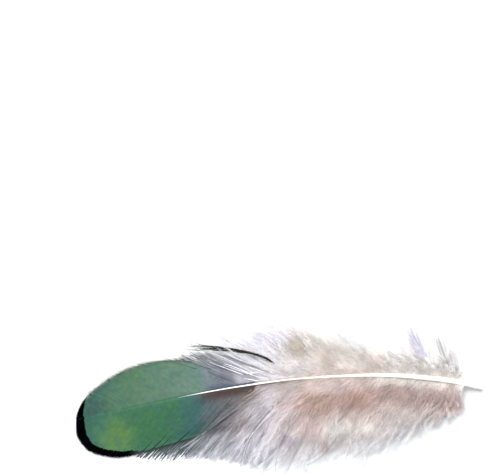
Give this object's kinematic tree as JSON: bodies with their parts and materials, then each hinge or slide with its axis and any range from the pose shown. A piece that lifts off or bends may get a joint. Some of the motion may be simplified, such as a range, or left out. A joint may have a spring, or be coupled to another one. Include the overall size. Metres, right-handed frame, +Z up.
{
  "type": "lady amherst pheasant feather",
  "caption": "Small body feather lying flat: closed green vane with a black rim at the tip, long loose pale down along an arched shaft, and a short bare quill.",
  "frame": {"origin": "on the surface that the feather lies on, under the middle of its outline seen from above", "axes": "+Z up from the surface, shiny side up; the vane's tip points to -X and the quill to +X; +Y is the side with the shorter down"},
  "size_m": [0.0736, 0.0275, 0.0058],
  "materials": {
    "feather": "matte",
    "vane": "satin",
    "down": "matte",
    "shaft": "satin"
  },
  "bodies": {
    "root": {"feather": "feather"}
  },
  "joints": []
}
